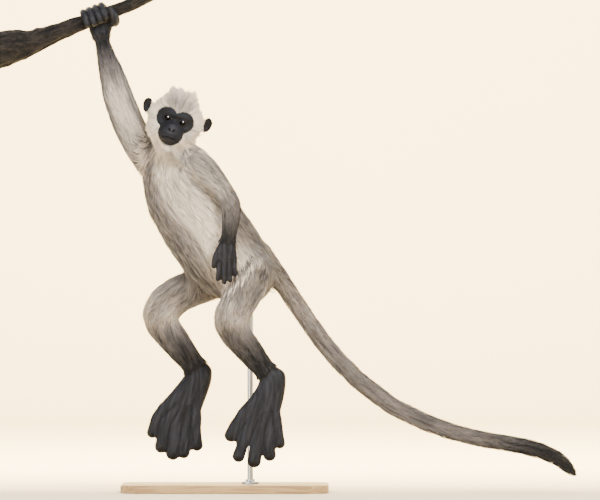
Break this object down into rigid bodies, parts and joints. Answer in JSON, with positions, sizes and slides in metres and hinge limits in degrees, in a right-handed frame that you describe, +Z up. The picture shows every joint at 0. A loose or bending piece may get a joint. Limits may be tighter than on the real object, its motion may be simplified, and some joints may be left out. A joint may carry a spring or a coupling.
{
  "type": "gray langur model",
  "caption": "Life-size gray langur hanging by one hand from a cut length of branch, long tail trailing, carried by a rod on a flat base.",
  "frame": {"origin": "centre of the underside of the stand's base", "axes": "+Z up, +X the way the tail trails, -Y the way the animal looks"},
  "size_m": [1.5957, 0.33, 1.3653],
  "materials": {
    "coat": "soft hair, silver grey with darker strands, black towards hands, feet and tail tip",
    "skin": "bare wrinkled skin, charcoal black, satin",
    "nail": "horny, dark, half gloss",
    "eye": "wet, dark brown",
    "bark": "rough dark bark, paler cut ends",
    "base_wood": "pale ash, satin varnish",
    "steel": "brushed"
  },
  "bodies": {
    "root": {"head": "coat", "ear_right": "skin", "ear_left": "skin", "eye_right": "eye", "eye_left": "eye", "neck": "coat", "trunk": "coat", "upper_arm_right": "coat", "forearm_right": "coat", "hand_right": "skin", "upper_arm_left": "coat", "forearm_left": "coat", "hand_left": "skin", "thigh_right": "coat", "shin_right": "coat", "foot_right": "skin", "thigh_left": "coat", "shin_left": "coat", "foot_left": "skin", "tail_1": "coat", "tail_2": "coat", "tail_3": "coat", "tail_4": "coat", "tail_5": "coat", "perch_branch": "bark", "stand_base": "base_wood", "stand_rod": "steel", "stand_collar": "steel"}
  },
  "joints": []
}
